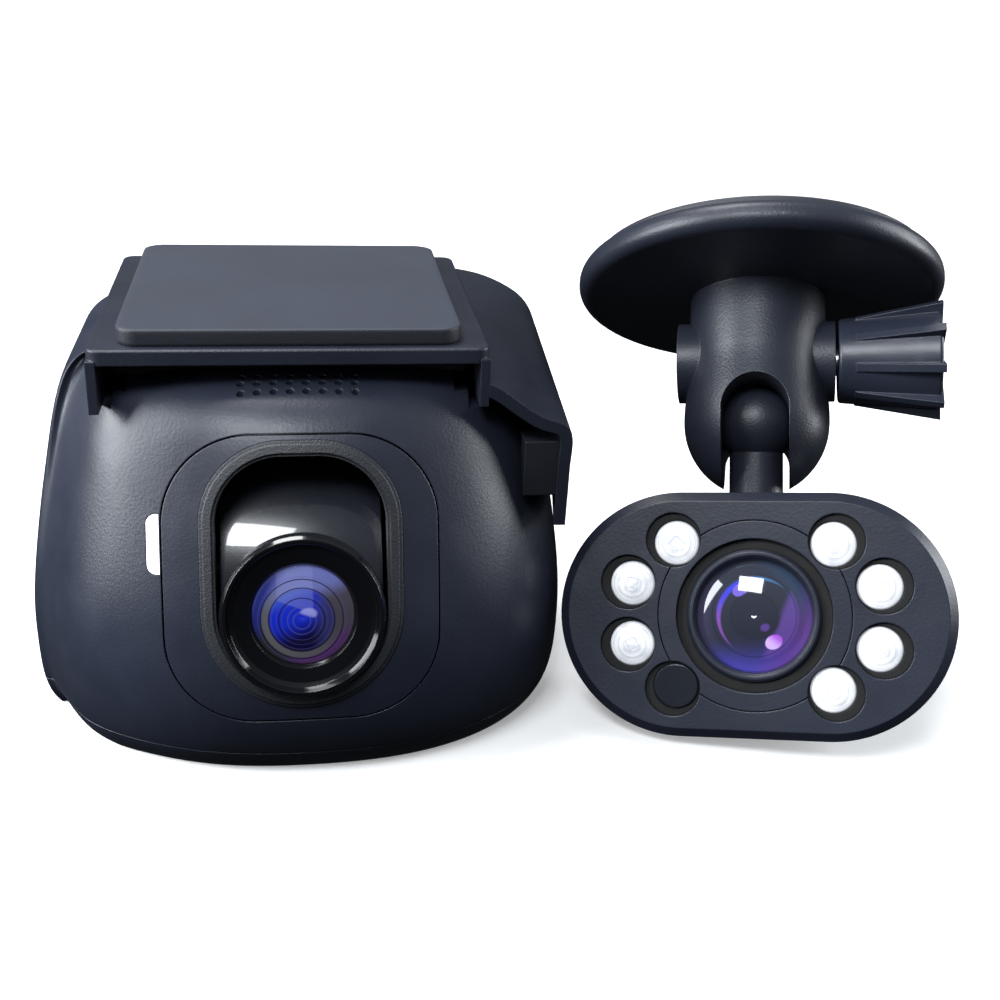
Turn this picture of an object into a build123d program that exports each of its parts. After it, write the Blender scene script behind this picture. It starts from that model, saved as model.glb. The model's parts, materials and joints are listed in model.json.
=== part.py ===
from build123d import *
import os
from math import asin, atan2, cos, pi, radians, sin, sqrt

# Dash camera kit: a windscreen main camera on a slide-on adhesive bracket, and a
# separate cabin camera with infrared lamps on a ball arm. Millimetres, +Z up, the
# lenses face -Y. The origin is the centre of the main camera's flat underside.

os.makedirs("parts", exist_ok=True)

# ---------------------------------------------------------------- driving dimensions

# Main camera body: each level is (height, front reach at the middle, half width,
# roundness of the plan outline; 2 is an ellipse, more is squarer).
BODY_LEVELS = [
    (0.0, 24.9, 33.2, 2.30),
    (2.2, 26.9, 34.4, 2.30),
    (5.0, 28.7, 35.0, 2.30),
    (9.0, 30.2, 35.2, 2.30),
    (15.0, 31.0, 35.1, 2.30),
    (22.0, 30.3, 34.3, 2.30),
    (30.0, 28.1, 33.0, 2.20),
    (36.0, 25.9, 31.8, 2.14),
    (41.0, 23.7, 30.7, 2.10),
    (44.0, 22.0, 29.8, 2.06),
    (46.2, 20.0, 28.8, 2.04),
    (47.6, 17.5, 27.6, 2.02),
    (48.3, 14.5, 26.4, 2.02),
    (48.6, 11.5, 25.0, 2.02),
]
BODY_TOP = BODY_LEVELS[-1][0]
WALL = 2.0
SIDE_START = 2.0            # y where the domed front meets the straight sides
REAR_Y = 25.5
REAR_CORNER = 8.0
SEAM = 0.2                  # open line between two outer covers
BOTTOM_SPLIT = 4.2          # height of the bottom cover's seam
REAR_SPLIT = 19.4           # y of the rear cover's seam

# Lens panel on the sloping front, drawn on a plane tipped back by PANEL_TILT.
LENS_X = -0.45              # the lens column stands a little left of the middle
PANEL_ORIGIN = (LENS_X, -27.0, 26.7)
PANEL_TILT = 21.0
PANEL_LOW = -16.4
PANEL_HIGH = 17.9
PANEL_HALF = 16.2
PANEL_CORNER = 10.5
SLOT_LOW = -12.7
SLOT_HIGH = 15.3
SLOT_HALF = 9.9
SLOT_TOP_CORNER = 7.8
COLLAR_WIDTH = 1.8
COLLAR_RISE = 0.55

# Tilting lens drum.
DRUM_Y = -7.85
DRUM_Z = 18.39
DRUM_RADIUS = 21.5
DRUM_HALF = 9.4
DRUM_SIDE_GAP = 0.5
DRUM_CROWN = 0.9            # how much lower the drum is at its ends
DRUM_REST = 15.0            # upward angle of the lens axis at rest, degrees
DRUM_LOW_ANGLE = -34.0      # the drum's skin, measured from the horizontal
DRUM_HIGH_ANGLE = 88.0
DRUM_SKIN = 1.8
PIVOT_RADIUS = 2.0
LENS_RING_RADIUS = 9.6
LENS_RING_FACE = 23.5       # distance of the ring's face from the drum axis
LENS_GLASS_RADIUS = 5.9

# Slide-on bracket, centred a little left of the body.
BRACKET_X = -1.1
PLATE_HALF = 23.2
PLATE_FRONT = -17.7
PLATE_REAR = 25.1
PLATE_BOTTOM = 50.75
PLATE_TOP = 52.6
PAD_SIZE = 40.0
PAD_FRONT = -16.4
PAD_TOP = 54.6
FLANGE_THICK = 1.1
FLANGE_BOTTOM = 44.9
RAIL_HALF = 20.9
RAIL_FRONT = -11.8
RAIL_TOP = 50.4
RAIL_BASE_LOW = 42.8
RAIL_BASE_HIGH = 44.4
POCKET_HALF = 23.75
GROOVE_LOW = 46.3
GROOVE_HIGH = 47.9
GROOVE_DEPTH = 1.5
HOOK_GAP = 0.3
# The side wing at its front and rear: (y, thickness, outer line from the plate's edge
# outward and down as (x, z) points).
WING_STATIONS = [
    (-17.7, 1.5, [(22.1, 48.1), (24.1, 47.1), (26.0, 45.7), (27.7, 44.5), (29.6, 43.5), (31.2, 43.0),
                  (32.2, 42.3), (32.65, 41.0), (32.6, 38.2), (32.5, 34.1), (32.4, 29.3)]),
    (24.5, 1.0, [(22.6, 51.0), (25.7, 50.4), (28.7, 49.3), (30.6, 48.3), (32.0, 47.4), (33.0, 46.5),
                 (33.8, 45.4), (34.7, 43.2), (36.0, 39.0), (37.5, 34.4), (38.7, 30.0)]),
]
# The space the wing needs over the body's right shoulder, front and rear.
WING_ROOM = [
    (-18.2, [(22.6, 45.7), (25.5, 43.8), (28.5, 41.8), (31.0, 40.5), (40.0, 40.5)]),
    (27.0, [(22.6, 49.3), (26.0, 48.8), (29.0, 47.6), (32.2, 45.5), (40.0, 45.5)]),
]
SHOULDER_WALL = 1.6

# Cabin camera: placed by the middle of its face, turned to the left, leaned back and
# rolled, as it stands on the rim of its head.
HEAD_X = 57.1
HEAD_Y = -22.3
HEAD_YAW = 23.0
HEAD_LEAN = 25.5
HEAD_ROLL = 8.0
HEAD_HALF_LENGTH = 25.4
HEAD_RADIUS = 16.0
HEAD_BEZEL_DEPTH = 5.0
HEAD_CHAMFER = 1.2
HEAD_WALL = 1.8
TRIM_RADIUS = 12.3
GASKET_OUTER = 10.0
GASKET_INNER = 8.6
CABIN_GLASS_RADIUS = 7.5
LED_SPOTS = [(10.4, 9.7), (16.3, 4.1)]   # first quarter; the others mirror these
LED_RADIUS = 2.95
LED_HOLE = 3.6
LED_SHIFT = 0.55            # the lamps lean in towards the lens
BALL_Y = 8.95
BALL_Z = 25.8
BALL_RADIUS = 5.5
SOCKET_RADIUS = 5.8
STEM_RADIUS = 3.6
STUD_RADIUS = 2.4
ARM_LEAN = 12.0             # the arm leans back from the stem
ARM_RADIUS = 9.2
ARM_LENGTH = 17.6           # ball centre to the disc
JAW_RADIUS = 9.75
JAW_DROP = 8.8
JAW_TIP = 4.9
JAW_SLOT_HALF = 4.4
JAW_SLOT_TOP = 4.1
BACK_SLOT_CENTRE = -4.2      # the rear slot is lower, for the stem leaning back
CLAMP_HEIGHT = 8.7
CLAMP_BOSS_RADIUS = 5.5
CLAMP_BOSS_REACH = 10.6
SCREW_RADIUS = 2.0
KNOB_START = 10.8
KNOB_END = 24.0
KNOB_RADIUS = 5.7
KNOB_END_RADIUS = 6.8
KNOB_RIB_REACH = 8.1
KNOB_RIBS = 9
DISC_RADIUS = 24.9
DISC_THICK = 3.8
DISC_PAD_RADIUS = 23.0
DISC_PAD_THICK = 1.0

FIT = 0.08                  # running fit of a pin in its hole, on the radius


# ---------------------------------------------------------------- small helpers

def save(name, shape):
    export_step(shape, "parts/" + name + ".step")


def block(x0, x1, y0, y1, z0, z1):
    """A box from its two corners."""
    box = Box(x1 - x0, y1 - y0, z1 - z0)
    return Pos((x0 + x1) / 2, (y0 + y1) / 2, (z0 + z1) / 2) * box


def rod(radius, start, end):
    """A cylinder between two points."""
    a = Vector(*start)
    b = Vector(*end)
    plane = Plane(origin=(a + b) / 2, z_dir=(b - a))
    return plane.location * Cylinder(radius, (b - a).length)


def group(shapes):
    """Separate solids kept in one node."""
    return Compound(children=list(shapes))


def soften(shape, edges, radius):
    """Round the given edges."""
    return fillet(edges, radius)


# ---------------------------------------------------------------- main body shape

def body_section(height, front, half, roundness, rear, corner):
    """Plan outline of the body at one level: a domed front and a squared rear."""
    depth = SIDE_START + front
    points = []
    steps = 10
    for step in range(steps + 1):
        angle = pi * step / steps
        across = abs(cos(angle)) ** (2 / roundness)
        if cos(angle) < 0:
            across = -across
        ahead = abs(sin(angle)) ** (2 / roundness)
        points.append((half * across, SIDE_START - depth * ahead, height))
    dome = Spline(*points, tangents=[(0, -1, 0), (0, 1, 0)])
    left_top = (-half, rear - corner, height)
    right_top = (half, rear - corner, height)
    left = Line(points[-1], left_top)
    left_arc = RadiusArc(left_top, (-half + corner, rear, height), corner)
    back = Line((-half + corner, rear, height), (half - corner, rear, height))
    right_arc = RadiusArc((half - corner, rear, height), right_top, corner)
    right = Line(right_top, points[0])
    return make_face(Wire([dome, left, left_arc, back, right_arc, right]))


def body_solid(inset):
    """The body's outer form, moved inward by inset all round (outward if negative)."""
    squeeze = (BODY_TOP - 2 * inset) / BODY_TOP
    sections = []
    for height, front, half, roundness in BODY_LEVELS:
        level = inset + height * squeeze
        section = body_section(level, front - inset, half - inset, roundness,
                               REAR_Y - inset, REAR_CORNER - inset)
        sections.append(section)
    return loft(sections)


panel_plane = Plane(
    origin=PANEL_ORIGIN,
    x_dir=(1, 0, 0),
    z_dir=(0, -cos(radians(PANEL_TILT)), sin(radians(PANEL_TILT))),
)


def panel_prism(sketch, reach=9.0):
    """A sketch on the panel plane pushed through the front wall."""
    return extrude(panel_plane * sketch, reach, both=True)


def panel_outline(gap):
    width = 2 * (PANEL_HALF - gap)
    height = PANEL_HIGH - PANEL_LOW - 2 * gap
    centre = (PANEL_HIGH + PANEL_LOW) / 2
    return Pos(0, centre) * RectangleRounded(width, height, PANEL_CORNER - gap)


def slot_outline(grow):
    """The drum's slot: half round below, squarer above."""
    half = SLOT_HALF + grow
    low = Pos(0, SLOT_LOW + SLOT_HALF) * Circle(half)
    top_corner = SLOT_TOP_CORNER + grow
    high_height = SLOT_HIGH - SLOT_LOW - SLOT_HALF + grow
    high = Pos(0, SLOT_LOW + SLOT_HALF) * Rectangle(
        2 * half, high_height, align=(Align.CENTER, Align.MIN))
    corners = high.vertices().sort_by(Axis.Y)[2:]
    return low + fillet(corners, top_corner)


# ---------------------------------------------------------------- main body covers

def wing_room(drop):
    """Everything above the wing's underside, lowered by drop."""
    ends = []
    for y, line in WING_ROOM:
        low = [(x, y, z - drop) for x, z in line]
        ends.append(make_face(Polyline(*low, (40.0, y, 60.0), (22.6, y, 60.0), close=True)))
    return loft(ends, ruled=True)


outer = body_solid(0) - wing_room(0)
inner = body_solid(WALL) - wing_room(SHOULDER_WALL)
shell = outer - inner

pocket = block(BRACKET_X - POCKET_HALF, BRACKET_X + POCKET_HALF,
               RAIL_FRONT, REAR_Y + 1, RAIL_BASE_LOW, BODY_TOP + 3)
for side in (-1, 1):
    channel_in = BRACKET_X + side * (RAIL_HALF + 0.2)
    channel_out = BRACKET_X + side * POCKET_HALF
    low_x, high_x = sorted((channel_in, channel_out))
    pocket += block(low_x, high_x, RAIL_FRONT - 9, RAIL_FRONT, RAIL_BASE_HIGH, BODY_TOP + 3)
    # The bracket's hooks leave the rail through a shallow notch in the brow.
    hook_way = BRACKET_X + side * (RAIL_HALF - GROOVE_DEPTH)
    low_x, high_x = sorted((hook_way, channel_out))
    pocket += block(low_x, high_x, RAIL_FRONT - 9, RAIL_FRONT, GROOVE_LOW, BODY_TOP + 3)
rail_bed = block(BRACKET_X - POCKET_HALF, BRACKET_X + POCKET_HALF,
                 RAIL_FRONT, REAR_Y - WALL - 0.4, RAIL_BASE_LOW, RAIL_BASE_HIGH)

# Card slot and power port, in the two side walls.
CARD_Y = 3.0
CARD_Z = 19.0
CARD_WIDTH = 11.0
CARD_THICK = 1.0
PORT_Y = 12.0
PORT_Z = 13.0
PORT_WIDTH = 9.0
PORT_HEIGHT = 3.3
card_opening = block(-40, -28, CARD_Y - CARD_WIDTH / 2 - 0.5, CARD_Y + CARD_WIDTH / 2 + 0.5,
                     CARD_Z - CARD_THICK / 2 - 0.4, CARD_Z + CARD_THICK / 2 + 0.4)
thumb_dish = Pos(-37.0, CARD_Y, CARD_Z) * Sphere(3.0)
port_outline = Plane(origin=(0, PORT_Y, PORT_Z), x_dir=(0, 1, 0), z_dir=(1, 0, 0))
port_shape = extrude(port_outline * SlotOverall(PORT_WIDTH, PORT_HEIGHT), 40)

# Speaker grille: three rows of eight round holes through the brow.
GRILLE_PITCH = 1.9
GRILLE_RADIUS = 0.48
GRILLE_FRONT = -17.6
GRILLE_COLUMNS = 8
GRILLE_ROWS = 3
grille_holes = []
for row in range(GRILLE_ROWS):
    for column in range(GRILLE_COLUMNS):
        hole_x = LENS_X + (column - (GRILLE_COLUMNS - 1) / 2) * GRILLE_PITCH
        hole_y = GRILLE_FRONT + row * 1.55
        grille_holes.append(Pos(hole_x, hole_y, BODY_TOP) * Cylinder(GRILLE_RADIUS, 12))

# Status light: a bar with round left corners, beside the lens panel.
LIGHT_LOW = 1.8
LIGHT_HIGH = 8.8
LIGHT_WIDTH = 1.5
light_right = -PANEL_HALF - 0.12


def light_outline(gap):
    width = LIGHT_WIDTH - 2 * gap
    height = LIGHT_HIGH - LIGHT_LOW - 2 * gap
    bar = Pos(light_right - LIGHT_WIDTH / 2, (LIGHT_LOW + LIGHT_HIGH) / 2) * Rectangle(width, height)
    return fillet(bar.vertices().sort_by(Axis.X)[:2], 1.1)


# Corner blocks inside the wall take the bottom screws.
SCREW_SPOTS = [(-28.0, -3.0), (28.0, -3.0), (-28.0, 14.5), (28.0, 14.5)]
screw_bosses = []
boss_core = body_solid(WALL / 2)
for spot_x, spot_y in SCREW_SPOTS:
    reach = 7.0 if spot_x > 0 else -7.0
    low_x, high_x = sorted((spot_x - reach * 0.45, spot_x + reach))
    corner_block = block(low_x, high_x, spot_y - 3.2, spot_y + 3.2, BOTTOM_SPLIT + SEAM, 13.0)
    screw_bosses.append(corner_block & boss_core)
SCREW_SHANK = 1.1
SCREW_HEAD = 2.2
SCREW_HEAD_TOP = 1.6
screw_holes = [rod(SCREW_SHANK, (x, y, -1), (x, y, 11.5)) for x, y in SCREW_SPOTS]
head_holes = [rod(SCREW_HEAD + 0.2, (x, y, -1), (x, y, SCREW_HEAD_TOP)) for x, y in SCREW_SPOTS]

# Bottom cover, with four screw pads and their countersunk holes.
SCREW_PAD = 3.7
cavity = inner & block(-50, 50, -50, 50, 0, BOTTOM_SPLIT + 1)
for spot_x, spot_y in SCREW_SPOTS:
    cavity -= rod(SCREW_PAD, (spot_x, spot_y, 0), (spot_x, spot_y, BOTTOM_SPLIT + 2))
bottom = (outer & block(-50, 50, -50, 50, -1, BOTTOM_SPLIT)) - cavity
for cut in screw_holes + head_holes:
    bottom -= cut
save("bottom_cover", bottom)

# Front housing.
housing = shell & block(-50, 50, -50, REAR_SPLIT, BOTTOM_SPLIT + SEAM, 60)
for boss in screw_bosses:
    housing += boss & block(-50, 50, -50, REAR_SPLIT, 0, 60)
housing -= pocket
housing -= panel_prism(panel_outline(0))
housing -= panel_prism(light_outline(0))
housing -= card_opening
housing -= thumb_dish
housing -= port_shape
for cut in grille_holes + screw_holes:
    housing -= cut

# Rear cover, with the screen window and four button holes.
WINDOW_HALF = 22.0
WINDOW_LOW = 14.5
WINDOW_HIGH = 40.0
BUTTON_XS = (-18.0, -6.0, 6.0, 18.0)
BUTTON_NAMES = ("menu_button", "up_button", "down_button", "select_button")
BUTTON_Z = 9.3
BUTTON_LENGTH = 7.0
BUTTON_HEIGHT = 3.2
BUTTON_GAP = 0.2
rear_plane = Plane(origin=(0, REAR_Y, 0), x_dir=(-1, 0, 0), z_dir=(0, 1, 0))
window_centre = (WINDOW_LOW + WINDOW_HIGH) / 2
window_height = WINDOW_HIGH - WINDOW_LOW
rear = shell & block(-50, 50, REAR_SPLIT + SEAM, 50, BOTTOM_SPLIT + SEAM, 60)
rear -= pocket
window_hole = rear_plane * (Pos(0, window_centre) * RectangleRounded(2 * WINDOW_HALF, window_height, 2))
rear -= extrude(window_hole, 4, both=True)
for button_x in BUTTON_XS:
    hole = rear_plane * (Pos(-button_x, BUTTON_Z) * SlotOverall(BUTTON_LENGTH, BUTTON_HEIGHT))
    rear -= extrude(hole, 4, both=True)

# Rail block: the fixed half of the bracket joint, set into the top of the body.
rail_shape = rail_bed & outer
rail_core = block(BRACKET_X - RAIL_HALF, BRACKET_X + RAIL_HALF, RAIL_FRONT,
                  REAR_Y - WALL - 0.4, RAIL_BASE_LOW, RAIL_TOP)
rail_hollow = block(BRACKET_X - RAIL_HALF + 3.6, BRACKET_X + RAIL_HALF - 3.6,
                    RAIL_FRONT + 2.4, REAR_Y - WALL - 3, RAIL_BASE_LOW - 1, RAIL_TOP - 2.4)
rail_block = rail_shape + rail_core - rail_hollow
for side in (-1, 1):
    groove_in = BRACKET_X + side * (RAIL_HALF - GROOVE_DEPTH)
    groove_out = BRACKET_X + side * (RAIL_HALF + 1)
    low_x, high_x = sorted((groove_in, groove_out))
    rail_block -= block(low_x, high_x, RAIL_FRONT - 1, PLATE_REAR - 3.6, GROOVE_LOW, GROOVE_HIGH)

# Lens panel, its slot collar and the status light.
drum_axis_start = (LENS_X - 30, DRUM_Y, DRUM_Z)
drum_axis_end = (LENS_X + 30, DRUM_Y, DRUM_Z)
room_half = DRUM_HALF + DRUM_SIDE_GAP
drum_room = rod(DRUM_RADIUS + 0.4, (LENS_X - room_half, DRUM_Y, DRUM_Z), (LENS_X + room_half, DRUM_Y, DRUM_Z))
panel = shell & panel_prism(panel_outline(SEAM))
panel -= panel_prism(slot_outline(COLLAR_WIDTH))
panel -= drum_room
collar_ring = slot_outline(COLLAR_WIDTH) - slot_outline(0)
raised = body_solid(-COLLAR_RISE)
half_raised = body_solid(-COLLAR_RISE * 0.45)
collar_full = (half_raised - inner) & panel_prism(collar_ring)
collar_crown_ring = slot_outline(COLLAR_WIDTH - 0.45) - slot_outline(0.35)
collar = collar_full + ((raised - inner) & panel_prism(collar_crown_ring))
collar -= drum_room
light_pipe = (body_solid(-0.05) - body_solid(2.6)) & panel_prism(light_outline(0.03))

# ---------------------------------------------------------------- lens drum

lens_plane = Plane(
    origin=(LENS_X, DRUM_Y, DRUM_Z),
    x_dir=(1, 0, 0),
    z_dir=(0, -cos(radians(DRUM_REST)), sin(radians(DRUM_REST))),
)


def lens_turn(profile):
    """Revolve a (distance along the lens axis, radius) profile about the lens axis."""
    points = [(radius, 0, reach) for reach, radius in profile]
    face = make_face(Polyline(*points, close=True))
    return lens_plane.location * revolve(face, Axis.Z)


def drum_profile(radius, half, crown):
    """A barrel about X, lower at its ends by crown."""
    line = Polyline((-half, radius - crown), (-half, 0), (half, 0), (half, radius - crown))
    arc = ThreePointArc((half, radius - crown), (0, radius), (-half, radius - crown))
    face = make_face(Wire([*line.edges(), arc]))
    return Pos(LENS_X, DRUM_Y, DRUM_Z) * revolve(face, Axis.X)


def wedge(radius, low, high, half):
    """A pie slice about the drum axis, between two angles up from -Y."""
    points = [(0, 0)]
    steps = 6
    for step in range(steps + 1):
        angle = radians(low + (high - low) * step / steps)
        points.append((-radius * cos(angle), radius * sin(angle)))
    face = make_face(Polyline(*points, close=True))
    plane = Plane(origin=(LENS_X, DRUM_Y, DRUM_Z), x_dir=(0, 1, 0), z_dir=(1, 0, 0))
    return extrude(plane * face, half, both=True)


drum_wedge = wedge(30, DRUM_LOW_ANGLE, DRUM_HIGH_ANGLE, DRUM_HALF)
drum_hub = rod(4.2, (LENS_X - DRUM_HALF, DRUM_Y, DRUM_Z), (LENS_X + DRUM_HALF, DRUM_Y, DRUM_Z))
drum_full = drum_profile(DRUM_RADIUS, DRUM_HALF, DRUM_CROWN)
drum_hollow = rod(DRUM_RADIUS - DRUM_CROWN - DRUM_SKIN,
                  (LENS_X - DRUM_HALF + 1.6, DRUM_Y, DRUM_Z),
                  (LENS_X + DRUM_HALF - 1.6, DRUM_Y, DRUM_Z))
drum = (drum_full & drum_wedge) + (drum_hub & drum_full) - drum_hollow
drum -= lens_plane.location * Pos(0, 0, 14) * Cylinder(8.2, 28)
pivot_bore = rod(PIVOT_RADIUS, (LENS_X - 20, DRUM_Y, DRUM_Z), (LENS_X + 20, DRUM_Y, DRUM_Z))
drum -= pivot_bore

ring = lens_turn([
    (LENS_RING_FACE - 2.6, LENS_RING_RADIUS - 0.9),
    (LENS_RING_FACE - 2.6, LENS_RING_RADIUS),
    (LENS_RING_FACE - 0.45, LENS_RING_RADIUS),
    (LENS_RING_FACE, LENS_RING_RADIUS - 0.35),
    (LENS_RING_FACE, LENS_RING_RADIUS - 0.7),
    (LENS_RING_FACE - 0.7, LENS_RING_RADIUS - 1.1),
    (LENS_RING_FACE - 0.9, LENS_RING_RADIUS - 1.6),
    (LENS_RING_FACE - 1.0, LENS_GLASS_RADIUS + 0.35),
    (LENS_RING_FACE - 1.4, LENS_GLASS_RADIUS + 0.05),
    (LENS_RING_FACE - 2.2, LENS_GLASS_RADIUS + 0.05),
    (LENS_RING_FACE - 2.2, 8.2),
    (LENS_RING_FACE - 2.6, 8.2),
])
ring -= drum_full
BARREL_FRONT = LENS_RING_FACE - 2.2
BARREL_BACK = BARREL_FRONT - 12.4
barrel = lens_turn([
    (BARREL_BACK, 6.6),
    (BARREL_BACK, 7.4),
    (BARREL_BACK + 4.4, 7.4),
    (BARREL_BACK + 4.4, 8.1),
    (BARREL_FRONT, 8.1),
    (BARREL_FRONT, 5.0),
    (BARREL_FRONT - 1.8, 4.6),
    (BARREL_FRONT - 3.4, 4.6),
    (BARREL_FRONT - 3.4, 6.6),
])


def dome_lens(radius, back, front, rise, plane):
    """A lens flat at the back and domed to its front by rise, on the plane's axis."""
    sphere_radius = (radius ** 2 + rise ** 2) / (2 * rise)
    body = Pos(0, 0, (back + front) / 2) * Cylinder(radius, front - back)
    ball = Pos(0, 0, front - sphere_radius) * Sphere(sphere_radius)
    return plane.location * (body & ball)


front_glass = dome_lens(LENS_GLASS_RADIUS, BARREL_FRONT, LENS_RING_FACE - 0.5, 1.2, lens_plane)
inner_glass = dome_lens(4.5, BARREL_FRONT - 3.3, BARREL_FRONT - 1.0, 1.5, lens_plane)
sensor_back = BARREL_BACK - 1.2
drum_sensor = lens_plane.location * Pos(0, 0, sensor_back + 0.55) * Box(13.6, 12.0, 1.1)
drum_chip = lens_plane.location * Pos(0, 0, sensor_back + 1.45) * Box(8.0, 6.6, 0.7)
PIVOT_OUT = 13.2
pivot_pins = group(
    rod(PIVOT_RADIUS, (LENS_X + side * (DRUM_HALF - 1.6), DRUM_Y, DRUM_Z),
        (LENS_X + side * PIVOT_OUT, DRUM_Y, DRUM_Z))
    for side in (-1, 1))
bearing_bore = rod(PIVOT_RADIUS + FIT, drum_axis_start, drum_axis_end)
bearings = []
for side in (-1, 1):
    near, far = sorted((LENS_X + side * (DRUM_HALF + 0.6), LENS_X + side * (PIVOT_OUT + 0.4)))
    bearing_block = block(near, far, DRUM_Y - 4, DRUM_Y + 4, WALL, DRUM_Z + 4)
    bearing_block = soften(bearing_block, bearing_block.edges().filter_by(Axis.X).group_by(Axis.Z)[-1], 2.5)
    bearings.append(bearing_block - bearing_bore)
drum_bearings = group(bearings)

# ---------------------------------------------------------------- inside the main body

BOARD_Y = 9.0
BOARD_THICK = 1.6
main_board = block(-25.2, 25.2, BOARD_Y, BOARD_Y + BOARD_THICK, 5.0, 41.0)
chip_spots = [(-12.0, 27.0, 12.0, 12.0), (6.0, 30.0, 9.0, 9.0), (18.0, 20.0, 6.0, 9.0), (2.0, 14.0, 7.0, 5.0)]
board_chips = group(
    block(x - w / 2, x + w / 2, BOARD_Y + BOARD_THICK, BOARD_Y + BOARD_THICK + 1.2, z - h / 2, z + h / 2)
    for x, z, w, h in chip_spots)
spreader_y = BOARD_Y + BOARD_THICK + 1.2
heat_spreader = block(-20.0, 14.0, spreader_y, spreader_y + 0.8, 20.0, 36.0)
capacitors = group(
    rod(4.0, (-24.0 + shift, 3.8, level), (-4.0 + shift, 3.8, level))
    for shift, level in ((0, 7.0), (28, 7.0)))
SCREEN_BACK = REAR_Y - 4.2
screen_module = block(-WINDOW_HALF + 1, WINDOW_HALF - 1, SCREEN_BACK - 2.4, SCREEN_BACK + 2.4,
                      WINDOW_LOW + 1, WINDOW_HIGH - 1)
screen_window = extrude(
    Plane(origin=(0, REAR_Y - 1.7, 0), x_dir=(-1, 0, 0), z_dir=(0, 1, 0))
    * (Pos(0, window_centre) * RectangleRounded(2 * WINDOW_HALF, window_height, 2)), 1.4)
button_board = block(-23.0, 23.0, REAR_Y - 5.4, REAR_Y - 4.4, 6.6, 12.4)
BUTTON_TRAVEL = 0.6
buttons = {}
for name, button_x in zip(BUTTON_NAMES, BUTTON_XS):
    face = rear_plane * (Pos(-button_x, BUTTON_Z)
                         * SlotOverall(BUTTON_LENGTH - 2 * BUTTON_GAP, BUTTON_HEIGHT - 2 * BUTTON_GAP))
    cap = extrude(face, 0.7) + extrude(face, -2.4)
    cap = soften(cap, cap.faces().sort_by(Axis.Y)[-1].edges(), 0.35)
    skirt = block(button_x - 4.3, button_x + 4.3, REAR_Y - 3.4, REAR_Y - 2.3,
                  BUTTON_Z - 2.3, BUTTON_Z + 2.3)
    buttons[name] = cap + skirt

speaker_plane = Plane(origin=(LENS_X, -15.9, 43.7), x_dir=(1, 0, 0), z_dir=(0, -0.2, 1))
speaker = speaker_plane.location * Pos(0, 0, -1.4) * Box(15.0, 5.2, 2.0)
speaker_mesh = speaker_plane.location * Pos(0, 0, 0) * Box(15.2, 4.6, 0.3)
microphone = Pos(11.6, -14.2, 42.4) * Cylinder(2.0, 1.6)

card_socket = block(-30.5, -16.0, CARD_Y - 6.6, CARD_Y + 5.8, CARD_Z - 1.6, CARD_Z + 1.6)
card_socket -= block(-31, -17.0, CARD_Y - CARD_WIDTH / 2 - 0.2, CARD_Y + CARD_WIDTH / 2 + 0.2,
                     CARD_Z - CARD_THICK / 2 - 0.2, CARD_Z + CARD_THICK / 2 + 0.2)
memory_card = block(-32.6, -17.6, CARD_Y - CARD_WIDTH / 2, CARD_Y + CARD_WIDTH / 2,
                    CARD_Z - CARD_THICK / 2, CARD_Z + CARD_THICK / 2)
port_body = block(25.6, 34.2, 0, 30, 0, 30)
usb_port = extrude(port_outline * SlotOverall(PORT_WIDTH - 0.1, PORT_HEIGHT - 0.1), 40) & port_body
usb_port -= extrude(port_outline * SlotOverall(PORT_WIDTH - 0.9, PORT_HEIGHT - 0.9), 40) & block(
    27.0, 40, 0, 30, 0, 30)
usb_port += block(27.0, 32.6, PORT_Y - 3.0, PORT_Y + 3.0, PORT_Z - 0.35, PORT_Z + 0.35)

bottom_screws = group(
    rod(SCREW_SHANK, (x, y, 0.6), (x, y, 11.0)) + rod(SCREW_HEAD, (x, y, 0.4), (x, y, SCREW_HEAD_TOP))
    - rod(0.9, (x, y, 0.0), (x, y, 1.1))
    for x, y in SCREW_SPOTS)

# ---------------------------------------------------------------- bracket

plate = block(BRACKET_X - PLATE_HALF, BRACKET_X + PLATE_HALF, PLATE_FRONT, PLATE_REAR,
              PLATE_BOTTOM, PLATE_TOP)
plate = soften(plate, plate.edges().filter_by(Axis.Z), 1.6)
plate = soften(plate, plate.faces().sort_by(Axis.Z)[-1].edges(), 0.3)
bracket = plate
for side in (-1, 1):
    outside = BRACKET_X + side * PLATE_HALF
    inside = outside - side * FLANGE_THICK
    low_x, high_x = sorted((outside, inside))
    flange_low = FLANGE_BOTTOM if side < 0 else FLANGE_BOTTOM + 0.4
    flange = block(low_x, high_x, PLATE_FRONT, PLATE_REAR - 0.6, flange_low, PLATE_BOTTOM + 0.5)
    hook_tip = BRACKET_X + side * (RAIL_HALF - GROOVE_DEPTH + HOOK_GAP)
    low_x, high_x = sorted((hook_tip, inside + side * 0.3))
    hook = block(low_x, high_x, RAIL_FRONT + 4, PLATE_REAR - 4.6,
                 GROOVE_LOW + HOOK_GAP, GROOVE_HIGH - HOOK_GAP)
    bracket = bracket + flange + hook


def wing_section(y, thick, outline):
    """The wing's closed section at one station: its outer line and the inner one."""
    outer_line = [(BRACKET_X + PLATE_HALF - 0.6, outline[0][1] + 0.1)] + outline
    inner_line = []
    last = len(outer_line) - 1
    for index, (x, z) in enumerate(outer_line):
        before = outer_line[max(index - 1, 0)]
        after = outer_line[min(index + 1, last)]
        into = atan2(z - before[1], x - before[0]) if index > 0 else None
        out = atan2(after[1] - z, after[0] - x) if index < last else None
        into = out if into is None else into
        out = into if out is None else out
        middle = (into + out) / 2
        stretch = thick / cos((out - into) / 2)
        inner_line.append((x + stretch * sin(middle), z - stretch * cos(middle)))
    top = Spline(*[(x, y, z) for x, z in outer_line])
    under = Spline(*[(x, y, z) for x, z in inner_line])
    start = Line(under @ 0, top @ 0)
    end = Line(top @ 1, under @ 1)
    return make_face(Wire([top, end, under, start]))


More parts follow.
